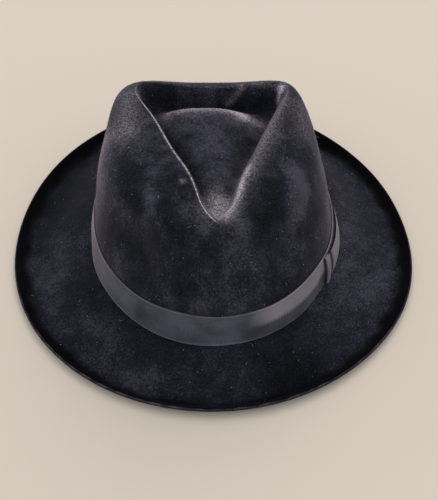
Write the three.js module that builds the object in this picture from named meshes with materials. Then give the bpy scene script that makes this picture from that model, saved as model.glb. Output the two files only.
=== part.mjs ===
// A felt trilby lying on its brim: one piece of blocked felt, a ribbon band and a flat bow.
// Millimetres, +Z up, the front of the hat towards -Y, the wearer's left towards +X.

import * as THREE from 'three';

// Driving dimensions
const feltThickness = 2;
const headWidth = 169.2; // outside of the felt at the foot of the crown, ear to ear
const headLength = 195; // the same, brow to nape
const crownHeight = 93; // foot of the crown to its highest ridge
const rootHeight = 17; // foot of the crown above the table

const brimFront = 41.5; // seen from above, from the foot of the crown to the edge
const brimSide = 56;
const brimBack = 53.5;
const lipFront = 5; // how far the edge turns up above the ring that rests on the table
const lipSide = 3;
const lipBack = 7.5;

const taperFront = 17; // how far the wall has leaned in where it turns into the top
const taperSide = 16.5;
const taperBack = 26;
const crownLean = 1.2; // the top leans this far to the wearer's right
const crownTilt = 2; // and lies this much higher at that side's corner than in the middle

const creaseFront = 76; // from the middle of the head to the point of the crease
const creaseBack = 59; // and to the ridge behind it
const creaseHalfWidth = 54; // half the widest place, between the two back corners
const creaseLean = 3; // the crease lies this far to the wearer's left
const creaseDepthFront = 10; // ridge to gutter
const creaseDepthSide = 20.5;
const creaseDepthBack = 24;
const ridgeDropFront = 1; // how far the ridge lies below its highest place, at the sides
const ridgeDropBack = 7.5;
const ridgeDropSharpness = 5; // higher keeps these two drops nearer to the very front and back
const dentDepth = 8; // the deeper of the two dents beside the point of the crease
const padMiddle = 22; // middle of the raised pad, behind the middle of the head
const padLean = -7; // and to the wearer's right of it
const padDrop = 10.5; // top of the pad below the highest ridge
const padFall = 18; // how far its top falls away over the crease's half width

const bandHeight = 25;
const bandFoot = 1; // the band's lower edge above the foot of the crown
const bandThickness = 0.7;
const bandSwell = 0.5; // the ribbon stands off most at half its height
const clearance = 0.3; // between ribbon and felt, and between one ribbon and the next

const ribbonThickness = 0.8; // of the bow
const bowHeight = 23;
const bowPlace = -46.5; // middle of the knot along the band, before the wearer's left ear
const bowLength = 50; // from the middle of the knot back to the fold of the loop
const bowTail = 6; // from the middle of the knot forward to the ends of the loop's ribbon
const bowSlit = 1.1; // widest gap between the two ribbons of the loop, at their edges
const bowSwell = 2.8; // how much further the outer ribbon stands off at half its height
const knotLength = 7.5;
const knotSwell = 1.4; // the same for the knot

const columns = 64; // points round each row of the felt and of the band
const foldPasses = 2; // how often the under side of the ridge is rounded

// Rows of the brim from its edge in: share of the brim's width, share of the drop from the crown
// down to the resting ring, and share of the turned-up lip. A resting row is flat underneath.
const brimRows = [
  { out: 1.0, drop: 1, lip: 1 },
  { out: 0.93, drop: 1, lip: 0.42 },
  { out: 0.86, drop: 1, lip: 0, rests: true },
  { out: 0.8, drop: 1, lip: 0, rests: true },
  { out: 0.68, drop: 0.9, lip: 0 },
  { out: 0.52, drop: 0.67, lip: 0 },
  { out: 0.36, drop: 0.4, lip: 0 },
  { out: 0.2, drop: 0.17, lip: 0 },
  { out: 0.07, drop: 0.03, lip: 0 },
  { out: 0.018, drop: 0.005, lip: 0 },
];

// Where the brim's edge strays from an even width: place as a share of the half turn from
// front to back (minus is the wearer's right), how far out as a share of the brim's width at the
// side, and its spread round the edge.
const brimWaves = [
  { turn: -0.7, out: 0.03, spread: 0.14 },
  { turn: 0.38, out: 0.028, spread: 0.12 },
  { turn: 0.76, out: -0.025, spread: 0.1 },
];

// Rows of the crown's wall upwards: share of the crown's height, shares of the three tapers, and
// how square the back is, where 2 is an ellipse.
const wallRows = [
  { up: 0.008, front: 0, side: 0, back: 0, square: 2 },
  { up: 0.13, front: 0.08, side: 0.07, back: 0.06, square: 2 },
  { up: 0.29, front: 0.2, side: 0.18, back: 0.15, square: 2 },
  { up: 0.44, front: 0.35, side: 0.31, back: 0.28, square: 2.05 },
  { up: 0.58, front: 0.51, side: 0.44, back: 0.43, square: 2.15 },
  { up: 0.71, front: 0.69, side: 0.6, back: 0.6, square: 2.5 },
  { up: 0.82, front: 0.87, side: 0.8, back: 0.8, square: 3.3 },
  { up: 0.89, front: 1, side: 1, back: 1, square: 4.4 },
];

// Rows of the top from the wall in to the ridge: share of the way in, and of the way up.
const topRows = [
  { inward: 0.1, up: 0.32 },
  { inward: 0.26, up: 0.54 },
  { inward: 0.48, up: 0.74 },
  { inward: 0.72, up: 0.89 },
  { inward: 0.9, up: 0.975 },
  { inward: 1, up: 1 },
];

// Rows inside the crease: size of the row as a share of the ridge's outline, share of the crease's
// depth, and how far the row has come to the height of the pad.
const creaseRows = [
  { size: 0.955, drop: 0.1, pad: 0 },
  { size: 0.91, drop: 0.5, pad: 0 },
  { size: 0.865, drop: 0.87, pad: 0 },
  { size: 0.8, drop: 1, pad: 0.03 },
  { size: 0.72, drop: 0.95, pad: 0.28 },
  { size: 0.64, drop: 0.9, pad: 0.72 },
  { size: 0.54, drop: 0.9, pad: 0.91 },
  { size: 0.4, drop: 0.9, pad: 0.97 },
  { size: 0.2, drop: 0.9, pad: 1 },
];

// Half of the ridge's outline from the point of the crease to the back: the control point and the
// end of each stretch, as shares of the crease's half width and of its length before or behind.
const ridgeStretches = [
  { bendAcross: 0.11, bendAlong: -0.98, across: 0.2, along: -0.79 },
  { bendAcross: 0.46, bendAlong: -0.15, across: 0.89, along: 0.63 },
  { bendAcross: 1.07, bendAlong: 0.98, across: 0.76, along: 0.99 },
  { bendAcross: 0.4, bendAlong: 1.0, across: 0, along: 1.0 },
];

// Rows of the bow's loop from its ends to its fold: place as a share of the bow's length (minus, of
// its tail), and how far the slit between the two ribbons and the outer one's swell have opened.
const loopRows = [
  { along: -1, slit: 0, swell: 0.3 },
  { along: 0, slit: 0, swell: 0.3 },
  { along: 0.07, slit: 0.1, swell: 0.4 },
  { along: 0.2, slit: 0.7, swell: 0.9 },
  { along: 0.42, slit: 1, swell: 1 },
  { along: 0.66, slit: 0.8, swell: 0.85 },
  { along: 0.86, slit: 0.4, swell: 0.5 },
  { along: 1, slit: 0, swell: 0.15 },
];

// Dents pressed into the felt: place as a share of the half turn, as above, height and depth as
// shares, and how far they spread round the crown and up it.
const dents = [
  { turn: -0.24, up: 0.68, depth: 1, spreadTurn: 0.11, spreadUp: 0.24 },
  { turn: 0.2, up: 0.7, depth: 0.85, spreadTurn: 0.1, spreadUp: 0.24 },
];

const felt = new THREE.MeshStandardMaterial({ color: 0x26262d, roughness: 0.95, metalness: 0 });
const ribbon = new THREE.MeshStandardMaterial({ color: 0x3f4048, roughness: 0.7, metalness: 0 });

// A size that differs between the front, the sides and the back, at a share of the half turn.
// A higher sharpness keeps the end sizes nearer to the very front and back.
function around(turn, front, side, back, sharpness = 2) {
  const towards = Math.cos(Math.PI * turn);
  const end = towards > 0 ? front : back;
  return side + (end - side) * Math.abs(towards) ** sharpness;
}

// A closed outline seen from above, with its points evenly spaced from the front towards +X
function outline(side, front, back, square = 2) {
  const steps = 72;
  const points = [];
  for (let i = 0; i < steps; i++) {
    const angle = (2 * Math.PI * i) / steps;
    const across = Math.sin(angle);
    const along = -Math.cos(angle);
    const power = along > 0 ? square : 2;
    const reach = (Math.abs(across) ** power + Math.abs(along) ** power) ** (-1 / power);
    const length = along > 0 ? back : front;
    points.push(new THREE.Vector3(side * across * reach, length * along * reach, 0));
  }
  return new THREE.CatmullRomCurve3(points, true).getSpacedPoints(columns).slice(0, columns);
}

// Share of the half turn of a column: 0 at the front, 1 at the back, minus on the wearer's right
function turnOf(column) {
  const whole = (2 * column) / columns;
  return whole > 1 ? whole - 2 : whole;
}

// How much of a dent or wave reaches a place, from the distances in shares of its spreads
function fade(...distances) {
  return Math.exp(-distances.reduce((sum, distance) => sum + distance * distance, 0));
}

// Unit vector towards the outside at a point of a closed row, seen from above
function outwardsAt(points, column) {
  const before = points[(column + points.length - 1) % points.length];
  const after = points[(column + 1) % points.length];
  return new THREE.Vector3(after.y - before.y, before.x - after.x, 0).normalize();
}

// Half sizes of the crown's wall at a share of its height, straight between the rows of its table
function wallSize(up, outset = 0) {
  const upper = Math.max(wallRows.findIndex((row) => row.up >= up), 1);
  const above = wallRows[upper];
  const below = wallRows[upper - 1];
  const share = (up - below.up) / (above.up - below.up);
  const at = (name) => THREE.MathUtils.lerp(below[name], above[name], share);
  return {
    side: headWidth / 2 - taperSide * at('side') + outset,
    front: headLength / 2 - taperFront * at('front') + outset,
    back: headLength / 2 - taperBack * at('back') + outset,
    square: at('square'),
  };
}

// The same as a closed row of points
function wallOutline(up, outset) {
  const size = wallSize(up, outset);
  return outline(size.side, size.front, size.back, size.square);
}

// The ridge's outline, with as many evenly spaced points as the rows of the wall
function ridgeOutline() {
  const lengthAt = (along) => along * (along < 0 ? creaseFront : creaseBack);
  const half = new THREE.Path().moveTo(0, -creaseFront);
  for (const part of ridgeStretches) {
    half.quadraticCurveTo(
      part.bendAcross * creaseHalfWidth,
      lengthAt(part.bendAlong),
      part.across * creaseHalfWidth,
      lengthAt(part.along),
    );
  }
  const right = half.getSpacedPoints(columns / 2);
  const points = [];
  for (let column = 0; column < columns; column++) {
    const mirrored = column > columns / 2;
    const point = right[mirrored ? columns - column : column];
    points.push(new THREE.Vector3((mirrored ? -point.x : point.x) + creaseLean, point.y, 0));
  }
  return points;
}

// Sets a point of the crown at its height, with the lean, the tilt and the lower front and back
function settle(point, column, up) {
  const drop = around(turnOf(column), ridgeDropFront, 0, ridgeDropBack, ridgeDropSharpness);
  const tilt = (crownTilt * point.x) / creaseHalfWidth;
  point.x -= crownLean * up ** 2;
  point.z = rootHeight + crownHeight * up - (drop + tilt) * up ** 3;
}

// Every row of the felt's upper side, from the brim's edge over the ridge to the pad
function feltRows() {
  const rows = [];

  for (const row of brimRows) {
    const points = outline(
      headWidth / 2 + brimSide * row.out,
      headLength / 2 + brimFront * row.out,
      headLength / 2 + brimBack * row.out,
    );
    const strays = points.map((point, column) => {
      const out = brimWaves.reduce((sum, wave) =>
        sum + wave.out * fade((turnOf(column) - wave.turn) / wave.spread), 0);
      return outwardsAt(points, column).multiplyScalar(out * row.out * brimSide);
    });
    points.forEach((point, column) => {
      const lip = around(turnOf(column), lipFront, lipSide, lipBack) * row.lip;
      point.add(strays[column]);
      point.z = THREE.MathUtils.lerp(rootHeight, feltThickness, row.drop) + lip;
    });
    rows.push({ points, rests: row.rests });
  }

  for (const row of wallRows) {
    const points = wallOutline(row.up);
    points.forEach((point, column) => settle(point, column, row.up));
    rows.push({ points });
  }

  const shoulder = rows[rows.length - 1].points;
  const ridge = ridgeOutline();
  ridge.forEach((point, column) => settle(point, column, 1));
  for (const row of topRows) {
    const points = shoulder.map((start, column) => {
      const point = start.clone().lerp(ridge[column], row.inward);
      point.z = THREE.MathUtils.lerp(start.z, ridge[column].z, row.up);
      return point;
    });
    rows.push({ points });
  }

  for (const row of rows.slice(brimRows.length)) pressDents(row.points);

  const padTop = (point) => {
    const fall = padFall * ((point.x - padLean) / creaseHalfWidth) ** 2;
    const tilt = (crownTilt * point.x) / creaseHalfWidth;
    return rootHeight + crownHeight - tilt - padDrop - fall;
  };
  const middle = new THREE.Vector3(padLean, padMiddle, 0);
  middle.z = padTop(middle);
  const crest = rows[rows.length - 1].points;
  for (const row of creaseRows) {
    const points = crest.map((start, column) => {
      const point = middle.clone().lerp(start, row.size);
      const depth = around(turnOf(column), creaseDepthFront, creaseDepthSide, creaseDepthBack);
      point.z = THREE.MathUtils.lerp(start.z - depth * row.drop, padTop(point), row.pad);
      return point;
    });
    rows.push({ points });
  }
  return { rows, middle };
}

// Pushes the points of one row of the crown inwards, seen from above, where the dents lie
function pressDents(points) {
  const moved = points.map((point, column) => {
    const up = (point.z - rootHeight) / crownHeight;
    const depth = dents.reduce((sum, dent) => sum + dent.depth * fade(
      (turnOf(column) - dent.turn) / dent.spreadTurn,
      (up - dent.up) / dent.spreadUp,
    ), 0);
    return outwardsAt(points, column).multiplyScalar(-depth * dentDepth);
  });
  points.forEach((point, column) => point.add(moved[column]));
}

// A mesh's geometry from its points and the corner numbers of its triangles
function solid(points, triangles) {
  const geometry = new THREE.BufferGeometry().setFromPoints(points);
  geometry.setIndex(triangles);
  geometry.computeVertexNormals();
  return geometry;
}

// Triangles between two closed rows of points; the first row lies outside or below the second
function ringTriangles(first, second, count) {
  const triangles = [];
  for (let i = 0; i < count; i++) {
    const next = (i + 1) % count;
    triangles.push(first + i, first + next, second + next, first + i, second + next, second + i);
  }
  return triangles;
}

// Rounds the felt's under side from the shoulder to just past the ridge, where the inside of the
// fold would otherwise cross itself: each point moves halfway to the middle of its neighbours in
// the rows before and after it.
function roundFolds(points) {
  const firstRow = brimRows.length + wallRows.length - 1;
  const crestRow = firstRow + topRows.length;
  for (let pass = 0; pass < foldPasses; pass++) {
    const before = points.map((point) => point.clone());
    for (let index = firstRow * columns; index < (crestRow + 2) * columns; index++) {
      const middle = before[index - columns].clone().add(before[index + columns]).divideScalar(2);
      points[index].lerp(middle, 0.5);
    }
  }
}

// The felt: the upper side, the same rows again one thickness below it, and the cut edge
function feltGeometry() {
  const { rows, middle } = feltRows();
  const upper = rows.flatMap((row) => row.points);
  upper.push(middle);
  const pole = upper.length - 1;
  const lastRow = (rows.length - 1) * columns;
  const top = [];
  for (let row = 1; row < rows.length; row++) {
    top.push(...ringTriangles((row - 1) * columns, row * columns, columns));
  }
  for (let i = 0; i < columns; i++) top.push(lastRow + i, lastRow + ((i + 1) % columns), pole);

  const normals = solid(upper, top).getAttribute('normal');
  const lower = upper.map((point, index) => {
    const down = new THREE.Vector3().fromBufferAttribute(normals, index).negate();
    const row = rows[Math.floor(index / columns)];
    if (row && row.rests) down.set(0, 0, -1);
    return point.clone().addScaledVector(down, feltThickness);
  });
  roundFolds(lower);

  const shift = upper.length;
  const under = [];
  for (let i = 0; i < top.length; i += 3) {
    under.push(top[i] + shift, top[i + 2] + shift, top[i + 1] + shift);
  }
  const edge = ringTriangles(shift, 0, columns);
  return solid([...upper, ...lower], [...top, ...under, ...edge]);
}

// The ribbon band: a closed ring that follows the lean of the crown's wall
function bandGeometry() {
  const profile = [
    { up: 0, out: 0 },
    { up: 0, out: bandThickness },
    { up: 0.5, out: bandThickness + bandSwell },
    { up: 1, out: bandThickness },
    { up: 1, out: 0 },
    { up: 0.5, out: 0 },
  ];
  const points = [];
  for (const corner of profile) {
    const height = bandFoot + corner.up * bandHeight;
    const ring = wallOutline(height / crownHeight, clearance + corner.out);
    for (const point of ring) point.z = rootHeight + height;
    points.push(...ring);
  }
  const triangles = [];
  for (let i = 0; i < profile.length; i++) {
    const next = (i + 1) % profile.length;
    triangles.push(...ringTriangles(i * columns, next * columns, columns));
  }
  return solid(points, triangles);
}

// How much a ribbon's middle stands off beyond its edges, at a height between them
function swellAt(up, height) {
  return 1 - ((2 * up) / height - 1) ** 2;
}

// A place on the band near the wearer's left ear: millimetres back along it, off it and up it
function onBand(back, off, up) {
  const angle = back / (headLength / 2);
  const standsOff = clearance + bandThickness + bandSwell * swellAt(up, bandHeight);
  const wall = wallSize((bandFoot + up) / crownHeight, standsOff);
  const length = back < 0 ? wall.front : wall.back;
  const outwards = new THREE.Vector3(Math.cos(angle) / wall.side, Math.sin(angle) / length, 0);
  const place = new THREE.Vector3(wall.side * Math.cos(angle), length * Math.sin(angle), 0);
  place.addScaledVector(outwards.normalize(), off);
  place.z = rootHeight + bandFoot + up;
  return place;
}

// A closed solid swept through sections of a strip: one side's corners, then the other's backwards
function sweptGeometry(sections) {
  const corners = sections[0].length;
  const last = (sections.length - 1) * corners;
  const triangles = [];
  for (let i = 1; i < sections.length; i++) {
    triangles.push(...ringTriangles((i - 1) * corners, i * corners, corners));
  }
  for (let i = 1; i < corners / 2; i++) {
    const opposite = corners - i;
    triangles.push(i - 1, opposite, i, i, opposite, opposite - 1);
    triangles.push(last + i - 1, last + i, last + opposite);
    triangles.push(last + i, last + opposite - 1, last + opposite);
  }
  return solid(sections.flat(), triangles);
}

// The loop: a ribbon that leaves the knot along the band, folds over and comes back outside itself
function loopGeometry() {
  const innerOff = clearance + ribbonThickness / 2;
  const closedOff = innerOff + ribbonThickness + clearance;
  const foldCentre = (innerOff + closedOff) / 2;
  const path = [];
  const alongOf = (row) => (row.along < 0 ? bowTail : bowLength) * row.along;
  for (const row of loopRows) path.push({ along: alongOf(row), off: innerOff, swell: 0 });
  path.push({ along: bowLength + ribbonThickness, off: foldCentre, swell: 0 });
  for (const row of [...loopRows].reverse()) {
    path.push({
      along: alongOf(row),
      off: closedOff + bowSlit * row.slit,
      swell: bowSwell * row.swell,
    });
  }
  const edge = (bandHeight - bowHeight) / 2;
  const heights = [0, 0.25, 0.5, 0.75, 1].map((share) => edge + share * bowHeight);
  const sections = path.map((place, i) => {
    const before = path[Math.max(i - 1, 0)];
    const after = path[Math.min(i + 1, path.length - 1)];
    const run = Math.hypot(after.along - before.along, after.off - before.off);
    const across = {
      along: ((after.off - before.off) / run) * (ribbonThickness / 2),
      off: ((before.along - after.along) / run) * (ribbonThickness / 2),
    };
    const corner = (side, up) => onBand(
      bowPlace + place.along + side * across.along,
      place.off + place.swell * swellAt(up - edge, bowHeight) + side * across.off,
      up,
    );
    const outer = heights.map((up) => corner(1, up));
    const inner = heights.map((up) => corner(-1, up)).reverse();
    return [...outer, ...inner];
  });
  return sweptGeometry(sections);
}

// The knot: a short ribbon over the root of the loop, turned in over its edges to the band
function knotGeometry() {
  const over = 2 * ribbonThickness + 4 * clearance;
  const edge = (bandHeight - bowHeight) / 2;
  const low = edge - clearance;
  const outer = [{ off: clearance, up: low - ribbonThickness }];
  const inner = [{ off: clearance, up: low }];
  for (const share of [0, 0.25, 0.5, 0.75, 1]) {
    const swell = knotSwell * swellAt(share, 1);
    const stretch = share * 2 - 1;
    const middle = bandHeight / 2;
    const innerReach = bowHeight / 2 + clearance;
    inner.push({ off: over + swell, up: middle + stretch * innerReach });
    outer.push({ off: over + ribbonThickness + swell, up: middle + stretch * (innerReach + ribbonThickness) });
  }
  inner.push({ off: clearance, up: bandHeight - low });
  outer.push({ off: clearance, up: bandHeight - low + ribbonThickness });
  const section = (along) => [
    ...outer.map((corner) => onBand(bowPlace + along, corner.off, corner.up)),
    ...inner.map((corner) => onBand(bowPlace + along, corner.off, corner.up)).reverse(),
  ];
  return sweptGeometry([knotLength / 2, 0, -knotLength / 2].map(section));
}

const trilby = new THREE.Group();

function addPiece(name, geometry, material) {
  const piece = new THREE.Mesh(geometry, material);
  piece.name = name;
  trilby.add(piece);
}

addPiece('felt_body', feltGeometry(), felt);
addPiece('hat_band', bandGeometry(), ribbon);
addPiece('bow_loop', loopGeometry(), ribbon);
addPiece('bow_knot', knotGeometry(), ribbon);

// The origin lies in the middle of the hat's length and width, on the table
const centre = new THREE.Box3().setFromObject(trilby).getCenter(new THREE.Vector3());
trilby.position.set(-centre.x, -centre.y, 0);

export default trilby;
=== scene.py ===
# A velour felt trilby lying on its brim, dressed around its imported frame.
# Every size in a dictionary is in millimetres unless its note says otherwise.

import math

import bmesh
import bpy
import numpy as np
from mathutils import Matrix, Vector


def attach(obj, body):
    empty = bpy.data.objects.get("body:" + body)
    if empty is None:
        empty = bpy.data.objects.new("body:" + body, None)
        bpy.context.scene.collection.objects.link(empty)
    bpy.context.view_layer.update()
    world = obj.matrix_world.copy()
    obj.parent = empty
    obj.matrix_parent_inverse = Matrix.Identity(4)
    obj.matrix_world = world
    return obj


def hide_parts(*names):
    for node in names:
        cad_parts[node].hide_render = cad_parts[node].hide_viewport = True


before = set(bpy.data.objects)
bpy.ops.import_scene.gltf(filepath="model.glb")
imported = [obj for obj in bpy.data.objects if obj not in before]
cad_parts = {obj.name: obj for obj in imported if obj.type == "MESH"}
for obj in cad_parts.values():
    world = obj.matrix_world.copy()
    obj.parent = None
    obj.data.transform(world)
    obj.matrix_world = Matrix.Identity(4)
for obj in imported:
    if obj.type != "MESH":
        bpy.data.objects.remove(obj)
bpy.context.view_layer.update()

scene = bpy.context.scene


# Small helpers

def linearColour(hexCode):
    # sRGB hex to the linear values that the shaders take
    values = [int(hexCode[start:start + 2], 16) / 255 for start in (1, 3, 5)]
    linear = [value / 12.92 if value <= 0.04045 else ((value + 0.055) / 1.055) ** 2.4 for value in values]
    return (*linear, 1.0)


def addNode(tree, kind, settings=None, inputs=None, output=0):
    # one node with its settings, and its inputs as values or as sockets to link; gives this output of it
    node = tree.nodes.new(kind)
    for name, value in (settings or {}).items():
        setattr(node, name, value)
    for name, value in (inputs or {}).items():
        if isinstance(value, bpy.types.NodeSocket):
            tree.links.new(value, node.inputs[name])
        else:
            node.inputs[name].default_value = value
    return node.outputs[output] if len(node.outputs) else node


shaderSockets = {
    "roughness": "Roughness", "specular": "Specular IOR Level", "sheen": "Sheen Weight",
    "sheenRoughness": "Sheen Roughness", "sheenTint": "Sheen Tint",
}


def startMaterial(name, looks):
    # a material whose shader has the roughness, highlights and sheen that its dictionary gives
    material = bpy.data.materials.new(name)
    material.use_nodes = True
    shader = material.node_tree.nodes["Principled BSDF"]
    for key, socketName in shaderSockets.items():
        if key in looks:
            value = looks[key]
            shader.inputs[socketName].default_value = linearColour(value) if key == "sheenTint" else value
    return material, material.node_tree, shader


def table(names, *rows):
    # a dictionary for each row of values, under these names
    return [dict(zip(names.split(), row)) for row in rows]


def perMetre(millimetres):
    # a texture's scale for a pattern of this real size
    return 1000 / millimetres


def unit(vectors):
    return vectors / np.maximum(np.linalg.norm(vectors, axis=-1, keepdims=True), 1e-12)


def smoothStep(values, low, high):
    share = np.clip((values - low) / (high - low), 0, 1)
    return share * share * (3 - 2 * share)


def plateau(values, rise, fall):
    # 1 between a smooth rise and a smooth fall, each from one value to another
    return smoothStep(values, *rise) * (1 - smoothStep(values, *fall))


def besideSegment(points, start, end):
    # how far each point lies from a straight line, and how far along the line, from 0 to 1
    along = end - start
    share = np.clip((points - start) @ along / (along @ along), 0, 1)
    return np.linalg.norm(points - start - share[:, None] * along, axis=1), share


def ringQuads(rowCount, count):
    # quads between neighbouring closed rows of points; each row runs from the front towards +X
    rows = np.arange(rowCount - 1)[:, None] * count
    here = np.arange(count)[None, :]
    after = (here + 1) % count
    corners = [rows + here, rows + after, rows + count + after, rows + count + here]
    return np.stack([corner.ravel() for corner in corners], 1)


def rowNormals(rows):
    # the surface's direction at every point of such rows
    points = rows.reshape(-1, 3)
    quads = ringQuads(*rows.shape[:2])
    normals = np.zeros_like(points)
    a, b, c, d = (points[quads[:, k]] for k in range(4))
    facing = np.cross(c - a, d - b)
    for k in range(4):
        np.add.at(normals, quads[:, k], facing)
    return unit(normals).reshape(rows.shape)


def softWaves(points, size, seed):
    # a slow random field, about -1 to 1, with waves of about this size
    numbers = np.random.default_rng(seed)
    total = np.zeros(len(points))
    waveCount, shortest, longest = 10, 0.8, 1.5
    for _ in range(waveCount):
        direction = unit(numbers.normal(size=3)) * 2 * math.pi / (size * numbers.uniform(shortest, longest))
        total += np.sin(points @ direction + numbers.uniform(0, 2 * math.pi))
    return total / math.sqrt(waveCount)


def makePiece(name, points, faces, material):
    # a finished mesh in metres, at the origin
    mesh = bpy.data.meshes.new(name)
    mesh.from_pydata((np.asarray(points) / 1000).tolist(), [], [list(face) for face in faces])
    mesh.polygons.foreach_set("use_smooth", np.ones(len(mesh.polygons), bool))
    mesh.materials.append(material)
    mesh.update()
    piece = bpy.data.objects.new(name, mesh)
    scene.collection.objects.link(piece)
    return piece


def addAttribute(piece, name, values):
    attribute = piece.data.attributes.new(name, "FLOAT", "POINT")
    attribute.data.foreach_set("value", np.asarray(values, np.float32))


# The camera, at the photograph's angle to the hat

camera = {
    "place": (-16.5, -489.1, 547.0),
    "tilt": 48.52,  # degrees below the horizon
    "turn": 2.46,  # degrees to the right of straight ahead
    "roll": 0.117,  # degrees
    "focal": 72.39,  # on a 36 mm long side
    "sensor": 36.0,
    "clip": (0.01, 20.0),  # metres
}


def makeCamera():
    data = bpy.data.cameras.new("camera")
    data.sensor_fit = "VERTICAL"
    data.sensor_height = camera["sensor"]
    data.sensor_width = camera["sensor"]
    data.lens = camera["focal"]
    data.clip_start, data.clip_end = camera["clip"]
    tilt, turn, roll = (math.radians(camera[name]) for name in ("tilt", "turn", "roll"))
    made = bpy.data.objects.new("camera", data)
    scene.collection.objects.link(made)
    made.matrix_world = (
        Matrix.Translation(Vector(camera["place"]) / 1000) @ Matrix.Rotation(-turn, 4, "Z")
        @ Matrix.Rotation(math.pi / 2 - tilt, 4, "X") @ Matrix.Rotation(roll, 4, "Z")
    )
    scene.camera = made


makeCamera()
print("camera made")


# The shape of the felt: the same rows and sizes as in the frame's own solids

felt = {
    "thickness": 2.0,
    "headWidth": 169.2, "headLength": 195.0, "crownHeight": 93.0, "rootHeight": 17.0,
    "brimFront": 41.5, "brimSide": 56.0, "brimBack": 53.5,
    "lipFront": 5.0, "lipSide": 3.0, "lipBack": 7.5,
    "taperFront": 17.0, "taperSide": 16.5, "taperBack": 26.0,
    "crownLean": 1.2, "crownTilt": 2.0,
    "creaseFront": 76.0, "creaseBack": 59.0, "creaseHalfWidth": 54.0, "creaseLean": 3.0,
    "creaseDepthFront": 10.0, "creaseDepthSide": 20.5, "creaseDepthBack": 24.0,
    "ridgeDropFront": 1.0, "ridgeDropBack": 6.2, "ridgeDropSharpness": 5,
    "dentDepth": 8.0,
    "padMiddle": 22.0, "padLean": -7.0, "padDrop": 7.3,
    "padFall": 40.0, "padSquare": 2.5, "padCrown": -3.0,  # its fall to the sides, and where it is highest
    "columns": 256,
    "spacing": 1.9, "ridgeSpacing": 0.6,  # between the rows of the finished mesh
    "foldPasses": 2,
    "shoulderPasses": 3,
    "padEdgeRow": 6, "padPasses": 2,
    "padRoundRight": 0.1, "padRoundLeft": 0.18,  # of the pad's back corners, the wearer's right and left
    "padCorner": 0.68, "padCornerSpread": 0.13,
    "padCornerFull": 0.5,  # how far up the pad its corners have their full rounding
    "rimBulge": 0.4,  # of the raw edge, in thicknesses
}

# Rows of the brim from its edge in: shares of its width, of its drop and of the turned-up lip
brimRows = table(
    "out drop lip",
    (1.0, 1, 1), (0.93, 1, 0.42), (0.86, 1, 0), (0.8, 1, 0), (0.68, 0.9, 0),
    (0.52, 0.67, 0), (0.36, 0.4, 0), (0.2, 0.17, 0), (0.07, 0.03, 0), (0.018, 0.005, 0),
)
restingRows = (2, 3)

# Places on a half turn are shares from the front, 0, to the back, 1; minus is the wearer's right
brimWaves = table(
    "turn out spread",
    (-0.7, 0.03, 0.14), (0.38, 0.028, 0.12), (0.76, -0.025, 0.1),
)

wallRows = table(
    "up front side back square",
    (0.008, 0, 0, 0, 2),
    (0.13, 0.08, 0.07, 0.06, 2),
    (0.29, 0.2, 0.18, 0.15, 2),
    (0.44, 0.35, 0.31, 0.28, 2.05),
    (0.58, 0.51, 0.44, 0.43, 2.15),
    (0.71, 0.69, 0.6, 0.6, 2.5),
    (0.82, 0.87, 0.8, 0.8, 3.3),
    (0.89, 1, 1, 1, 4.4),
)

topRows = table(
    "inward up",
    (0.1, 0.32), (0.26, 0.54), (0.48, 0.74), (0.72, 0.89), (0.9, 0.975), (1, 1),
)

creaseRows = table(
    "size drop pad",
    (0.955, 0.1, 0), (0.91, 0.5, 0), (0.865, 0.87, 0), (0.8, 1, 0.03), (0.72, 0.95, 0.28),
    (0.64, 0.9, 0.72), (0.54, 0.9, 0.91), (0.4, 0.9, 0.97), (0.2, 0.9, 1),
)

# Half of the ridge's outline: bend point and end of each stretch, in shares of the crease's sizes
ridgeStretches = table(
    "bend end",
    ((0.156, -0.89), (0.24, -0.69)),
    ((0.492, -0.092), (0.89, 0.63)),
    ((1.07, 0.98), (0.76, 0.99)),
    ((0.4, 1.0), (0, 1.0)),
)

# Where two fingers pinch the front: depths are shares of dentDepth
dents = table(
    "turn up depth spreadTurn spreadUp",
    (-0.24, 0.68, 1, 0.11, 0.24),
    (0.2, 0.7, 0.85, 0.1, 0.24),
)

# Small folds in the felt: a line from one place to another, raised or sunk over its width
folds = table(
    "start end width height",
    ((20.5, 52, 105), (11, 49.5, 90), 2.6, 1.3),
    ((12, 52, 104), (3, 49, 92), 5, -1.0),
    ((49.5, 46, 106), (48, 42, 94), 2.0, 1.2),
)


def halfTurns(count):
    # where each column of points stands: 0 at the front, 1 at the back, minus on the wearer's right
    turn = 2 * np.arange(count) / count
    return np.where(turn > 1, turn - 2, turn)


columnCount = felt["columns"]
turns = halfTurns(columnCount)


def around(front, side, back, sharpness=2):
    towards = np.cos(np.pi * turns)
    end = np.where(towards > 0, front, back)
    return side + (end - side) * np.abs(towards) ** sharpness


def evenlySpaced(points, count):
    # points at even steps along a line of many points, its end left out
    steps = np.linalg.norm(np.diff(points, axis=0), axis=1)
    reached = np.concatenate([[0], np.cumsum(steps)])
    wanted = np.linspace(0, reached[-1], count + 1)
    return np.stack([np.interp(wanted, reached, points[:, k]) for k in (0, 1)], 1)


def outline(side, front, back, square=2.0, count=columnCount):
    # an oval row whose back half is squarer where square is more than 2
    fineSteps = 1441
    angle = np.linspace(0, 2 * np.pi, fineSteps)
    across, along = np.sin(angle), -np.cos(angle)
    power = np.where(along > 0, square, 2.0)
    reach = (np.abs(across) ** power + np.abs(along) ** power) ** (-1 / power)
    length = np.where(along > 0, back, front)
    flat = np.stack([side * across * reach, length * along * reach], 1)
    row = np.zeros((count, 3))
    row[:, :2] = evenlySpaced(flat, count)[:-1]
    return row


def outwards(row):
    before, after = np.roll(row, 1, 0), np.roll(row, -1, 0)
    sideways = after - before
    return unit(np.stack([sideways[:, 1], -sideways[:, 0], np.zeros(len(row))], 1))


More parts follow.
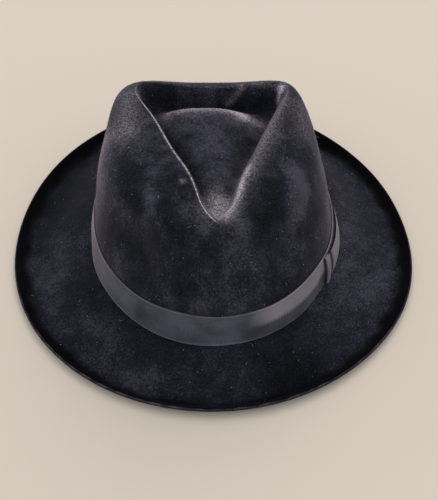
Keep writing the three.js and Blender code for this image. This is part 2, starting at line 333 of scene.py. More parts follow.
def wallSize(up, outset=0.0):
    heights = [row["up"] for row in wallRows]
    at = {name: np.interp(up, heights, [row[name] for row in wallRows])
          for name in ("front", "side", "back", "square")}
    return {
        "side": felt["headWidth"] / 2 - felt["taperSide"] * at["side"] + outset,
        "front": felt["headLength"] / 2 - felt["taperFront"] * at["front"] + outset,
        "back": felt["headLength"] / 2 - felt["taperBack"] * at["back"] + outset,
        "square": at["square"],
    }


def ridgeOutline():
    def place(shares):
        across, along = shares
        length = felt["creaseFront"] if along < 0 else felt["creaseBack"]
        return np.array([across * felt["creaseHalfWidth"], along * length])
    line = []
    bendSteps = 60
    start = place((0, -1))
    for stretch in ridgeStretches:
        bend, end = place(stretch["bend"]), place(stretch["end"])
        for share in np.linspace(0, 1, bendSteps, endpoint=False):
            line.append((1 - share) ** 2 * start + 2 * share * (1 - share) * bend + share ** 2 * end)
        start = end
    line.append(start)
    half = evenlySpaced(np.array(line), columnCount // 2)
    row = np.zeros((columnCount, 3))
    row[:columnCount // 2 + 1, :2] = half
    mirrored = half[1:-1][::-1] * (-1, 1)
    row[columnCount // 2 + 1:, :2] = mirrored
    row[:, 0] += felt["creaseLean"]
    return row


def settle(row, up):
    drop = around(felt["ridgeDropFront"], 0, felt["ridgeDropBack"], felt["ridgeDropSharpness"])
    tilt = felt["crownTilt"] * row[:, 0] / felt["creaseHalfWidth"]
    row[:, 2] = felt["rootHeight"] + felt["crownHeight"] * up - (drop + tilt) * up ** 3
    row[:, 0] -= felt["crownLean"] * up ** 2
    return row


def pressDents(row):
    up = (row[:, 2] - felt["rootHeight"]) / felt["crownHeight"]
    depth = np.zeros(columnCount)
    for dent in dents:
        aside = (turns - dent["turn"]) / dent["spreadTurn"]
        above = (up - dent["up"]) / dent["spreadUp"]
        depth += dent["depth"] * np.exp(-aside ** 2 - above ** 2)
    return row - outwards(row) * (depth * felt["dentDepth"])[:, None]


def padTop(places):
    aside = np.abs(places[:, 0] - felt["padCrown"]) / felt["creaseHalfWidth"]
    fall = felt["padFall"] * aside ** felt["padSquare"]
    tilt = felt["crownTilt"] * places[:, 0] / felt["creaseHalfWidth"]
    return felt["rootHeight"] + felt["crownHeight"] - tilt - felt["padDrop"] - fall


def feltRows():
    # every row of the upper side, from the brim's edge over the ridge to the pad's middle
    rows = []
    for brimRow in brimRows:
        row = outline(
            felt["headWidth"] / 2 + felt["brimSide"] * brimRow["out"],
            felt["headLength"] / 2 + felt["brimFront"] * brimRow["out"],
            felt["headLength"] / 2 + felt["brimBack"] * brimRow["out"],
        )
        strays = np.zeros(columnCount)
        for wave in brimWaves:
            strays += wave["out"] * np.exp(-((turns - wave["turn"]) / wave["spread"]) ** 2)
        row += outwards(row) * (strays * brimRow["out"] * felt["brimSide"])[:, None]
        lip = around(felt["lipFront"], felt["lipSide"], felt["lipBack"]) * brimRow["lip"]
        row[:, 2] = felt["rootHeight"] + (felt["thickness"] - felt["rootHeight"]) * brimRow["drop"] + lip
        rows.append(row)
    for wallRow in wallRows:
        wall = outline(**wallSize(wallRow["up"]))
        rows.append(pressDents(settle(wall, wallRow["up"])))

    shoulderUp = wallRows[-1]["up"]
    start = settle(outline(**wallSize(shoulderUp)), shoulderUp)
    ridge = settle(ridgeOutline(), 1)
    for topRow in topRows:
        row = start + (ridge - start) * topRow["inward"]
        row[:, 2] = start[:, 2] + (ridge[:, 2] - start[:, 2]) * topRow["up"]
        rows.append(pressDents(row))

    middle = np.array([[felt["padLean"], felt["padMiddle"], 0.0]])
    middle[:, 2] = padTop(middle)
    crest = rows[-1]
    depth = around(felt["creaseDepthFront"], felt["creaseDepthSide"], felt["creaseDepthBack"])
    corner = np.exp(-((np.abs(turns) - felt["padCorner"]) / felt["padCornerSpread"]) ** 2)
    roundness = np.where(turns > 0, felt["padRoundLeft"], felt["padRoundRight"])
    for creaseRow in creaseRows:
        rounded = 1 - roundness * corner * min(1, creaseRow["pad"] / felt["padCornerFull"])
        row = middle + (crest - middle) * (creaseRow["size"] * rounded)[:, None]
        fallen = crest[:, 2] - depth * creaseRow["drop"]
        row[:, 2] = fallen + (padTop(row) - fallen) * creaseRow["pad"]
        rows.append(row)
    rows.append(np.repeat(middle, columnCount, 0))
    return np.array(rows)


crestRow = len(brimRows) + len(wallRows) + len(topRows) - 1

# How sharply the ridge is creased round the crown: crisp on the wearer's right, soft on the left
ridgeSharpness = {
    "crispRise": (-0.72, -0.66), "crispFall": (-0.02, 0.04), "most": 0.85,
    "softRise": (0.02, 0.1), "softFall": (0.55, 0.7),
}


def softenedRows(rows, first, last, passes, weight=1.0):
    # each point moves halfway to the middle of its neighbours in the rows before and after it
    rows = rows.copy()
    halfway = np.reshape(0.5 * weight, (1, -1, 1))
    for _ in range(passes):
        middle = (rows[first - 1:last] + rows[first + 1:last + 2]) / 2
        rows[first:last + 1] += (middle - rows[first:last + 1]) * halfway
    return rows


def finerRows(rows, sharpness):
    # smooth curves through the rows at about even steps, with a crease of this sharpness at the ridge
    steps = np.diff(rows, axis=0)
    lengths = np.maximum(np.linalg.norm(steps, axis=2, keepdims=True), 1e-6)
    slopes = steps / lengths
    before, longBefore = (np.concatenate([values[:1], values]) for values in (slopes, lengths))
    after, longAfter = (np.concatenate([values, values[-1:]]) for values in (slopes, lengths))
    tangents = (after * longBefore + before * longAfter) / (longBefore + longAfter)
    opposite = np.roll(slopes[-1], columnCount // 2, 0)
    tangents[-1] = (slopes[-1] - opposite) / 2
    arriving, leaving = tangents.copy(), tangents.copy()
    share = sharpness[:, None]
    arriving[crestRow] = tangents[crestRow] * (1 - share) + before[crestRow] * share
    leaving[crestRow] = tangents[crestRow] * (1 - share) + after[crestRow] * share

    finer, places = [], []
    for i in range(len(rows) - 1):
        step = felt["ridgeSpacing"] if crestRow - 2 < i <= crestRow else felt["spacing"]
        count = max(1, int(round(lengths[i].mean() / step)))
        for t in np.arange(count) / count:
            startShare = 2 * t ** 3 - 3 * t ** 2 + 1
            endShare = 1 - startShare
            startPull = t ** 3 - 2 * t ** 2 + t
            endPull = t ** 3 - t ** 2
            finer.append(rows[i] * startShare + rows[i + 1] * endShare
                         + lengths[i] * (leaving[i] * startPull + arriving[i + 1] * endPull))
            places.append(i + t)
    return np.array(finer), np.array(places)


waving = {"size": 46.0, "height": 0.45, "calmBelow": 4.0, "fullAbove": 22.0, "seeds": (11, 12, 13)}


def wavered(points):
    # the slow unevenness of hand-blocked felt, none where it rests on the table
    flat = points.reshape(-1, 3)
    strength = waving["height"] * smoothStep(flat[:, 2], waving["calmBelow"], waving["fullAbove"])
    moved = [softWaves(flat, waving["size"], seed) * strength for seed in waving["seeds"]]
    return points + np.stack(moved, 1).reshape(points.shape)


def foldHeight(points):
    # every fold fades towards its ends
    nearEnd, fadePower = 0.02, 0.5
    height = np.zeros(len(points))
    for fold in folds:
        away, share = besideSegment(points, np.array(fold["start"]), np.array(fold["end"]))
        ends = np.sin(np.pi * np.clip(share, nearEnd, 1 - nearEnd)) ** fadePower
        height += fold["height"] * ends * np.exp(-(away / fold["width"]) ** 2)
    return height


feltSurface = feltRows()
brimEdge = feltSurface[0]
middleShift = -(brimEdge.min(0) + brimEdge.max(0)) / 2  # the origin lies in the middle of the whole hat
middleShift[2] = 0


def makeFelt(material):
    rows = feltSurface
    normals = rowNormals(rows)
    normals[list(restingRows)] = (0, 0, 1)
    normals[-1] = (0, 0, 1)
    under = rows - normals * felt["thickness"]
    roundedFrom = len(brimRows) + len(wallRows) - 1
    under = softenedRows(under, roundedFrom, crestRow + 1, felt["foldPasses"])

    crisp = plateau(turns, ridgeSharpness["crispRise"], ridgeSharpness["crispFall"])
    soft = plateau(turns, ridgeSharpness["softRise"], ridgeSharpness["softFall"])
    rows = softenedRows(rows, crestRow - 1, crestRow + 1, 1, soft)
    rows = softenedRows(rows, roundedFrom - 2, crestRow - 2, felt["shoulderPasses"])
    padRow = crestRow + felt["padEdgeRow"]
    rows = softenedRows(rows, padRow - 1, padRow + 2, felt["padPasses"])
    upper, places = finerRows(rows, crisp * ridgeSharpness["most"])
    lower, _ = finerRows(under, np.zeros(columnCount))
    upper, lower = (wavered(side + middleShift) for side in (upper, lower))
    lower[..., 2] = np.maximum(lower[..., 2], 0)
    raised = foldHeight(upper.reshape(-1, 3)).reshape(len(upper), columnCount, 1)
    upper = upper + rowNormals(upper) * raised

    rim = []
    out = outwards(upper[0])
    centre, half = (upper[0] + lower[0]) / 2, (upper[0] - lower[0]) / 2
    for angle in np.radians([135, 90, 45]):
        bulge = out * (math.sin(angle) * felt["thickness"] * felt["rimBulge"])
        rim.append(centre + half * math.cos(angle) + bulge)

    # from the middle of the hollow down and out, round the rim, and over the top to the pad
    sheet = np.concatenate([lower[::-1], np.array(rim), upper])
    points = sheet.reshape(-1, 3)
    quads = ringQuads(len(sheet), columnCount)
    lowPole = len(points)
    highPole = lowPole + 1
    poles = np.array([under[-1, 0], rows[-1, 0]])
    points = np.concatenate([points, wavered(poles + middleShift)])
    lastRow = (len(sheet) - 1) * columnCount
    here = np.arange(columnCount)
    after = (here + 1) % columnCount
    caps = [(lowPole, int(b), int(a)) for a, b in zip(here, after)]
    caps += [(lastRow + int(a), lastRow + int(b), highPole) for a, b in zip(here, after)]
    piece = makePiece("velour_felt", points, [*quads.tolist(), *caps], material)

    # what the material and the nap read at each point of the upper side and of the rim
    flat = upper.reshape(-1, 3)
    fromEdge = np.repeat(places, columnCount)
    start = (len(lower) + len(rim)) * columnCount
    onUpper, onRim = slice(start, start + len(flat)), slice(start - columnCount, start)
    broken = smoothStep(softWaves(points[onRim], wearAndSheen["rawSize"], wearAndSheen["rawSeed"]), *wearAndSheen["rawBroken"])
    inFront = 1 - smoothStep(np.abs(turns), *wearAndSheen["rawFront"])
    calm = wearAndSheen["brimCalm"]
    for name, where, values in (
        ("rawEdge", onRim, broken * (wearAndSheen["rawBack"] + (1 - wearAndSheen["rawBack"]) * inFront)),
        ("wornAndSheen", onUpper, wornNapAndSheen(flat, fromEdge, np.tile(turns, len(upper)))),
        ("brushedAndPaintedLight", onUpper, besideMarks(flat, brushAndPaintedLightMarks)),
        ("pressed", onUpper, pressedNap(flat, fromEdge)),
        ("mottled", onUpper, calm + (1 - calm) * smoothStep(fromEdge, *wearAndSheen["calmRows"])),
        ("napped", onUpper, smoothStep(fromEdge, *wearAndSheen["lipRows"])),
    ):
        whole = np.zeros(len(points))
        whole[where] = values
        addAttribute(piece, name, whole)
    combed = np.zeros((len(points), 3))
    combed[onUpper] = combDirection(flat, rowNormals(upper).reshape(-1, 3))
    attribute = piece.data.attributes.new("combed", "FLOAT_VECTOR", "POINT")
    attribute.data.foreach_set("vector", combed.astype(np.float32).ravel())
    return piece


# Where the nap is worn to a dusty grey by hands, with painted highlights of sheen in the same grey, or
# pressed flat and dark just inside the brim's edge
padArc = [(-33, 32, 93.5), (-20, 32.5, 99), (-3, 32.5, 101.5), (14, 32, 99), (25, 31, 95), (33, 30, 89)]
wearAndSheen = {
    # along the ridge, worn and painted with highlights: strength, reach in rows, and the stretches of half
    # turns where it comes and goes
    "ridge": {
        "right": {"most": 1.8, "rows": 0.15, "rise": (0, 0.04), "fall": (0.6, 0.72)},
        "left": {"most": 0.38, "rows": 1.2, "rise": (0, 0.04), "fall": (0.62, 0.75)},
        "back": {"most": 0.15, "rows": 0.4, "rise": (0.62, 0.74), "fall": (1, 1.1)},  # on to the middle
    },
    # a painted highlight of sheen along the pad's far edge, stronger on the wearer's left
    "padEdgeRow": 6.4, "padEdgeRows": 0.6, "padEdgeFrom": (0.64, 0.78),
    "padEdgeLeft": 2.0, "padEdgeRight": 0.6, "rightRise": (0, 0.3), "rightFall": (0.75, 1),
    "most": 3.0,
    "lipRows": (0.9, 2.4),  # the nap begins between these rows of the brim; the lip has none
    "pressedRows": (1.0, 4.4), "pressedPower": 1.5,  # where the nap is pressed dark, with a ragged border
    "pressedRagged": 0.5, "pressedSize": 14.0, "pressedSeed": 21, "raggedRows": (0.5, 2),
    "brimCalm": 0.7, "calmRows": (7, 10),  # how much of the crown's mottling the brim has
    # the size of the stretches where the raw edge shows, and how much of it shows at the back
    "rawSize": 9.0, "rawSeed": 23, "rawBroken": (-0.6, 0.9), "rawBack": 0.3, "rawFront": (0.4, 0.6),
}

# Places where the nap is worn and where highlights of sheen are painted on, and places where it lies lighter
# or darker, brushed that way and painted with light and shade: points or lines
wornAndSheenMarks = table(
    "line width lift",
    ([(2, -67, 104), (3, -56, 99)], 9, 0.8),
    ([(2, -70, 105), (4, -68, 106)], 4, 1.0),
    ([(4.5, -70, 106), (12.3, -58.7, 108), (16.8, -44, 108.5), (20.6, -32.6, 109)], 2.4, 0.9),
    ([(28, 51, 107), (50, 48, 106)], 2.5, 0.45),
    ([(-56, 38, 110), (-57, 5, 108)], 10, 0.3),
    ([(-73, 10, 90), (-74, -20, 84)], 14, 0.25),
    ([(60, 30, 104), (62, 5, 102)], 9, 0.2),
    ([(-72, 8, 95), (-79, 2, 70), (-84, 0, 46)], 10, 0.45),
    ([(-19.8, -45.3, 109.9)], 2.0, 0.4),
    ([(22.4, 52.3, 102.8), (17.5, 50.6, 97.2), (12.7, 49.6, 91.1)], 2.2, 0.5),
    ([(49, 46.2, 105), (49, 43.3, 97)], 2.6, 2.0),
    (padArc[1:], 3.6, 0.55),
    (padArc, 9.0, 0.15),
)
brushAndPaintedLightMarks = table(
    "line width lift",
    # many are painted light and shade: lighter bands on the front shoulders and the wearer's right wall stand
    # for sheen, darker marks by the dents for shade
    ([(-51, -30, 106), (-49, -60, 98)], 8, -1.1),
    ([(-31, -58, 107), (-31, -73, 103)], 6, -1.2),
    ([(-44, -70, 84), (-38, -78, 72)], 10, -0.9),
    ([(-62, -36, 100), (-64, -48, 84)], 6, 0.8),
    ([(-42, -46, 107), (-41, -62, 103)], 5, 1.0),
    ([(-78, -20, 60)], 16, 0.5),
    ([(29, -28, 108), (40, -62, 96)], 10, -0.9),
    ([(50, -22, 108)], 6, -0.6),
    ([(48, -24, 106), (49, -50, 100), (51, -62, 84)], 6.5, 1.4),
    ([(56, -36, 102), (56, -54, 88)], 5, 1.2),
    ([(61, -34, 98), (64, -48, 78)], 4.5, -1.0),
    ([(27, -72, 102), (30, -77, 88)], 7, -0.8),
    ([(13, -80, 103), (19, -80, 98)], 6, 0.6),
    ([(8, -80, 84), (26, -82, 76)], 8, 0.4),
    ([(-18, -66, 102), (-17, -80, 88)], 6, 0.6),
    ([(0, -96, 45)], 20, 0.2),
    ([(-10, 12, 100), (8, -10, 100)], 20, 0.4),
    ([(57, 32, 107), (57, 10, 107)], 8, -1.1),
    # the marks on the brim are partly painted light and shade: lighter on the wearer's left, darker at the
    # back, most at the back of the wearer's right
    ([(105, -45, 6)], 30, 0.6),
    ([(-118, -35, 4)], 26, 0.3),
    ([(35, -134, 4), (62, -118, 4)], 12, -1.2),
    ([(-60, -116, 5), (-38, -124, 4)], 13, 0.9),
    ([(20, -105, 14), (40, -108, 10)], 16, -0.5),
    ([(-110, 40, 4), (-85, 95, 4)], 30, -1.3),
    ([(0, 115, 8)], 40, -0.6),
    ([(-40, -105, 10), (40, -105, 10)], 40, -0.5),
)


def besideMarks(points, marks):
    # the lift of every mark together, fading from its line
    total = np.zeros(len(points))
    for mark in marks:
        line = np.array(mark["line"], float)
        away = np.linalg.norm(points - line[0], axis=1)
        for start, end in zip(line[:-1], line[1:]):
            away = np.minimum(away, besideSegment(points, start, end)[0])
        total += mark["lift"] * np.exp(-(away / mark["width"]) ** 2)
    return total


def wornNapAndSheen(points, fromEdge, turn):
    # wear together with painted highlights of sheen: the marks, the pad's far edge and lines along the ridge
    strength = besideMarks(points, wornAndSheenMarks)
    beyondCrest = fromEdge - crestRow
    onPad = np.exp(-((beyondCrest - wearAndSheen["padEdgeRow"]) / wearAndSheen["padEdgeRows"]) ** 2)
    towardsRight = plateau(-turn, wearAndSheen["rightRise"], wearAndSheen["rightFall"])
    padEdge = wearAndSheen["padEdgeLeft"] + (wearAndSheen["padEdgeRight"] - wearAndSheen["padEdgeLeft"]) * towardsRight
    strength += onPad * padEdge * smoothStep(np.abs(turn), *wearAndSheen["padEdgeFrom"])
    for side, away in (("right", -turn), ("left", turn), ("back", np.abs(turn))):
        line = wearAndSheen["ridge"][side]
        along = plateau(away, line["rise"], line["fall"])
        strength += line["most"] * along * np.exp(-(beyondCrest / line["rows"]) ** 2)
    return np.clip(strength, 0, wearAndSheen["most"])


def pressedNap(points, fromEdge):
    # dark on the lip, fading inwards with a ragged border
    ragged = wearAndSheen["pressedRagged"] * softWaves(points, wearAndSheen["pressedSize"], wearAndSheen["pressedSeed"])
    place = fromEdge + ragged * smoothStep(fromEdge, *wearAndSheen["raggedRows"])
    return (1 - smoothStep(place, *wearAndSheen["pressedRows"])) ** wearAndSheen["pressedPower"]


def combDirection(points, normals):
    # the nap leans round the hat and down, half laid on the felt
    swirl = np.stack([-points[:, 1], points[:, 0], np.full(len(points), -nap["down"])], 1)
    flat = swirl - normals * (swirl * normals).sum(1, keepdims=True)
    return unit(unit(flat) + normals * nap["lift"])


# Velour fur felt: a dense brushed nap that swallows light where it faces the eye and turns
# pinkish grey where it is seen along the surface, with patches that lie lighter or darker, some of them
# painted light and shade. Its grain stands for the ends of the fibres, which are too fine to show, so it is
# drawn coarser.
velour = {
    "dark": "#0d1214", "middle": "#22242c", "light": "#45454f",
    # the dusty grey is worn nap, and also paints highlights of sheen on the ridges, the pad's far edge and
    # the sides
    "dustyAndSheen": "#c9c0c8", "raw": "#6a626a", "lip": "#030304",
    "patchSize": 30.0, "patchDetail": 3.0, "patchRoughness": 0.55,
    "strokeSize": 8.0, "strokeDetail": 4.0, "strokeRoughness": 0.6, "strokeStretch": 0.28,
    "grainSize": 1.2, "grainDetail": 2.0, "grainRoughness": 0.6,
    "patchShare": 1.3, "strokeShare": 1.0, "brushedAndPaintedLightShare": 0.3, "grainShare": 1.3, "middleTone": 0.51,
    "fleckGain": 2.4, "fleckStart": -0.7,
    "pressedDark": 0.95,
    "napHeight": 0.3, "napStrength": 0.6,
    "grazing": "#888092", "grazingBlend": 0.3, "grazingPower": 3.0, "grazingMost": 0.85,
    "sheenTint": "#e6d8ea", "sheen": 0.08, "sheenRoughness": 0.25,
    "roughness": 0.95, "specular": 0.05,
}

# Tufts of the nap, each a bundle of fibres, drawn thicker than the real ones so that they show
nap = {
    "density": 0.38, "length": 1.2, "width": 0.1,  # tufts per square millimetre, and millimetres
    "down": 30.0, "lift": 0.55, "stray": 0.35,
    "smallest": 0.55, "largest": 1.35,  # times the size of a tuft, speck or thread
    "seed": 5,
}

# Dust and lint caught in the nap
lint = {
    "speckDensity": 0.006, "speckWidth": 0.42, "speckStray": 1.0, "speckSeed": 3,
    "threadDensity": 0.0016, "threadLength": 2.4, "threadWidth": 0.09, "threadBend": 0.35,
    "threadStray": 1.6, "threadSeed": 8,
    "lift": 0.15, "dark": "#7d7d88", "light": "#c4c2cc", "colourSize": 12.0, "roughness": 0.9,
}


def makeVelour():
    material, tree, shader = startMaterial("velourFurFelt", velour)
    place = addNode(tree, "ShaderNodeTexCoord", output="Object")
    downwards = addNode(tree, "ShaderNodeMapping", inputs={
        "Vector": place, "Scale": (1, 1, velour["strokeStretch"]),
    })
    patches, strokes, grain = (
        addNode(tree, "ShaderNodeTexNoise", inputs={
            "Vector": where, "Scale": perMetre(velour[name + "Size"]),
            "Detail": velour[name + "Detail"], "Roughness": velour[name + "Roughness"],
        })
        for name, where in (("patch", place), ("stroke", downwards), ("grain", place))
    )
    brushedAndPaintedLight, wornAndSheen, rawEdge, pressed, mottled = (
        addNode(tree, "ShaderNodeAttribute", {"attribute_name": name}, output="Fac")
        for name in ("brushedAndPaintedLight", "wornAndSheen", "rawEdge", "pressed", "mottled")
    )

    # the mottling is taken about its middle, and the whole tone about its own
    mottling = -(velour["strokeShare"] + velour["patchShare"]) / 2
    for pattern, share in ((strokes, velour["strokeShare"]), (patches, velour["patchShare"])):
        mottling = addNode(tree, "ShaderNodeMath", {"operation": "MULTIPLY_ADD"}, {
            0: pattern, 1: share, 2: mottling,
        })
    tone = velour["middleTone"] - velour["grainShare"] / 2
    # the brushed marks lighten and darken the tone, partly as painted light and shade
    for pattern, share in (
        (mottling, mottled), (brushedAndPaintedLight, velour["brushedAndPaintedLightShare"]), (grain, velour["grainShare"]),
    ):
        tone = addNode(tree, "ShaderNodeMath", {"operation": "MULTIPLY_ADD"}, {
            0: pattern, 1: share, 2: tone,
        })
    ramp = addNode(tree, "ShaderNodeValToRGB", inputs={"Fac": tone})
    stops = ramp.node.color_ramp.elements
    stops[0].color = linearColour(velour["dark"])
    stops[1].color = linearColour(velour["light"])
    stops.new(0.5).color = linearColour(velour["middle"])

    # worn nap and the painted highlights show as flecks, so the grain decides where the dusty colour comes
    # through
    flecks = addNode(tree, "ShaderNodeMath", {"operation": "MULTIPLY_ADD"}, {
        0: grain, 1: velour["fleckGain"], 2: velour["fleckStart"],
    })
    # the ends of the fibres catch the light where the surface is seen along itself
    facing = addNode(tree, "ShaderNodeLayerWeight", inputs={"Blend": velour["grazingBlend"]}, output="Facing")
    grazing = addNode(tree, "ShaderNodeMath", {"operation": "POWER"}, {0: facing, 1: velour["grazingPower"]})
    colour = ramp
    for name, amount, share in (
        ("dustyAndSheen", wornAndSheen, flecks), ("grazing", grazing, velour["grazingMost"]),
        ("lip", pressed, velour["pressedDark"]), ("raw", rawEdge, grain),
    ):
        shown = addNode(tree, "ShaderNodeMath", {"operation": "MULTIPLY", "use_clamp": True}, {
            0: amount, 1: share,
        })
        colour = addNode(tree, "ShaderNodeMix", {"data_type": "RGBA"}, {
            0: shown, 6: colour, 7: linearColour(velour[name]),
        }, output=2)
    bump = addNode(tree, "ShaderNodeBump", inputs={
        "Height": grain, "Distance": velour["napHeight"] / 1000, "Strength": velour["napStrength"],
    })
    tree.links.new(colour, shader.inputs["Base Color"])
    tree.links.new(bump, shader.inputs["Normal"])
    return material


velourMaterial = makeVelour()
feltPiece = makeFelt(velourMaterial)
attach(feltPiece, "root")
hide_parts("felt_body")
print("felt made", len(feltPiece.data.vertices))


# The nap and what is caught in it, placed over the felt by Geometry Nodes

socketKinds = {float: "NodeSocketFloat", int: "NodeSocketInt", bpy.types.Material: "NodeSocketMaterial"}


def startTree(name, values):
    # a tree that takes a mesh and one named input for each of these values
    tree = bpy.data.node_groups.new(name, "GeometryNodeTree")
    face = tree.interface
    face.new_socket("Geometry", in_out="INPUT", socket_type="NodeSocketGeometry")
    for valueName, value in values.items():
        face.new_socket(valueName, in_out="INPUT", socket_type=socketKinds[type(value)])
    face.new_socket("Geometry", in_out="OUTPUT", socket_type="NodeSocketGeometry")
    return tree, addNode(tree, "NodeGroupInput").node.outputs


def finishTree(tree, geometry, material):
    real = addNode(tree, "GeometryNodeRealizeInstances", inputs={"Geometry": geometry})
    finished = addNode(tree, "GeometryNodeSetMaterial", inputs={"Geometry": real, "Material": material})
    addNode(tree, "NodeGroupOutput", inputs={"Geometry": finished})


def runTree(piece, tree, values):
    # gives the piece the mesh that the tree makes from it, as a plain mesh
    modifier = piece.modifiers.new("nodes", "NODES")
    modifier.node_group = tree
    for item in tree.interface.items_tree:
        if item.in_out == "INPUT" and item.name in values:
            modifier[item.identifier] = values[item.name]
    evaluated = piece.evaluated_get(bpy.context.evaluated_depsgraph_get())
    made = bpy.data.meshes.new_from_object(evaluated)
    piece.modifiers.remove(modifier)
    piece.data = made
    made.polygons.foreach_set("use_smooth", np.ones(len(made.polygons), bool))


def tuftShape(tree, given):
    return addNode(tree, "GeometryNodeMeshCone", {"fill_type": "NGON"}, {
        "Vertices": 3, "Radius Top": 0.0, "Radius Bottom": given["Radius"], "Depth": given["Length"],
    })


def speckShape(tree, given):
    return addNode(tree, "GeometryNodeMeshIcoSphere", inputs={"Radius": given["Radius"], "Subdivisions": 1})


def threadShape(tree, given):
    middle, aside = (
        addNode(tree, "ShaderNodeMath", {"operation": "MULTIPLY"}, {0: given["Length"], 1: share})
        for share in (0.5, lint["threadBend"])
    )
    curve = addNode(tree, "GeometryNodeCurveQuadraticBezier", inputs={
        "Resolution": 6, "Start": (0.0, 0.0, 0.0),
        "Middle": addNode(tree, "ShaderNodeCombineXYZ", inputs={"X": aside, "Z": middle}),
        "End": addNode(tree, "ShaderNodeCombineXYZ", inputs={"Z": given["Length"]}),
    })
    profile = addNode(tree, "GeometryNodeCurvePrimitiveCircle", {"mode": "RADIUS"}, {
        "Resolution": 3, "Radius": given["Radius"],
    })
    return addNode(tree, "GeometryNodeCurveToMesh", inputs={
        "Curve": curve, "Profile Curve": profile, "Fill Caps": True,
    })


def scatterPiece(name, makeShape, lift, values):
    # copies of a shape over the napped side, each along the nap with a little of its own way
    piece = bpy.data.objects.new(name, feltPiece.data.copy())
    scene.collection.objects.link(piece)
    tree, given = startTree(name, values)
    napped, combed = (
        addNode(tree, "GeometryNodeInputNamedAttribute", {"data_type": kind}, {"Name": attributeName})
        for attributeName, kind in (("napped", "FLOAT"), ("combed", "FLOAT_VECTOR"))
    )
    density, minusStray = (
        addNode(tree, "ShaderNodeMath", {"operation": "MULTIPLY"}, {0: amount, 1: factor})
        for amount, factor in ((napped, given["Density"]), (given["Stray"], -1.0))
    )
    points = addNode(tree, "GeometryNodeDistributePointsOnFaces", {"distribute_method": "RANDOM"}, {
        "Mesh": given["Geometry"], "Density": density, "Seed": given["Seed"],
    })
    lowStray, highStray = (
        addNode(tree, "ShaderNodeCombineXYZ", inputs={"X": reach, "Y": reach, "Z": reach})
        for reach in (minusStray, given["Stray"])
    )
    stray = addNode(tree, "FunctionNodeRandomValue", {"data_type": "FLOAT_VECTOR"}, {
        0: lowStray, 1: highStray, "Seed": given["Seed"],
    })
    direction = addNode(tree, "ShaderNodeVectorMath", {"operation": "ADD"}, {0: combed, 1: stray})
    turn = addNode(tree, "FunctionNodeAlignRotationToVector", {"axis": "Z"}, {"Vector": direction})
    size = addNode(tree, "FunctionNodeRandomValue", {"data_type": "FLOAT"}, {
        2: nap["smallest"], 3: nap["largest"], "Seed": given["Seed"],
    }, output=1)
    placed = addNode(tree, "GeometryNodeInstanceOnPoints", inputs={
        "Points": points, "Instance": makeShape(tree, given), "Rotation": turn, "Scale": size,
    })
    lifted = addNode(tree, "GeometryNodeTranslateInstances", inputs={
        "Instances": placed, "Translation": (0.0, 0.0, lift / 1000),
    })
    finishTree(tree, lifted, given["Material"])
    runTree(piece, tree, values)
    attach(piece, "root")
    print(name, "made", len(piece.data.polygons), "faces")


def makeLintMaterial():
    material, tree, shader = startMaterial("cottonLint", lint)
    place = addNode(tree, "ShaderNodeTexCoord", output="Object")
    spread = addNode(tree, "ShaderNodeTexNoise", inputs={
        "Vector": place, "Scale": perMetre(lint["colourSize"]), "Detail": 1.0,
    })
    colour = addNode(tree, "ShaderNodeMix", {"data_type": "RGBA"}, {
        0: spread, 6: linearColour(lint["dark"]), 7: linearColour(lint["light"]),
    }, output=2)
    tree.links.new(colour, shader.inputs["Base Color"])
    return material


scatterPiece("velour_nap", tuftShape, 0.0, {
    "Density": nap["density"] * 1e6, "Length": nap["length"] / 1000, "Radius": nap["width"] / 2000,
    "Stray": nap["stray"], "Seed": nap["seed"], "Material": velourMaterial,
})
lintMaterial = makeLintMaterial()
scatterPiece("dust_specks", speckShape, lint["lift"], {
    "Density": lint["speckDensity"] * 1e6, "Radius": lint["speckWidth"] / 2000,
    "Stray": lint["speckStray"], "Seed": lint["speckSeed"], "Material": lintMaterial,
})
scatterPiece("lint_threads", threadShape, lint["lift"], {
    "Density": lint["threadDensity"] * 1e6, "Length": lint["threadLength"] / 1000,
    "Radius": lint["threadWidth"] / 2000,
    "Stray": lint["threadStray"], "Seed": lint["threadSeed"], "Material": lintMaterial,
})


# The ribbon: the band round the foot of the crown, with raised selvedges and fine ribs across it
ribbon = {
    "height": 25.0, "foot": 1.0, "thickness": 0.7, "swell": 0.5, "clearance": 0.3,
    "selvedge": 1.0, "selvedgeRise": 0.12,
    "flatFrom": 1.3, "flatRows": 11,  # how far from its edges the ribbon is flat, in selvedges
    "ribPitch": 1.25, "ribDepth": 0.07,  # real ribs are finer, 0.5 to 0.8, and would not show
    "bend": 1.7, "bendRise": (0.06, 0.1), "bendFall": (0.27, 0.31),  # a lengthwise crease on the left
    "columns": 1840,
}

# Where and how much the band is painted lighter for the sheen and light that fall on its sides, and a little
# on its selvedges, in half turns from the front
bandFadeAndLight = {
    "rightRise": (0.21, 0.46), "rightFall": (0.55, 0.75), "right": 0.5, "rightLowerSelvedge": 1.2,
    "rightEar": 0.8, "earPlace": -0.51, "earSpread": 0.06,
    "leftRise": (0.06, 0.14), "leftFall": (0.5, 0.65), "leftUpper": 0.9, "leftLower": -0.2,
    "halves": (-0.08, 0.08),  # where the lower half gives way to the upper one
    "selvedges": 0.2, "least": -0.3, "most": 2.0,
}


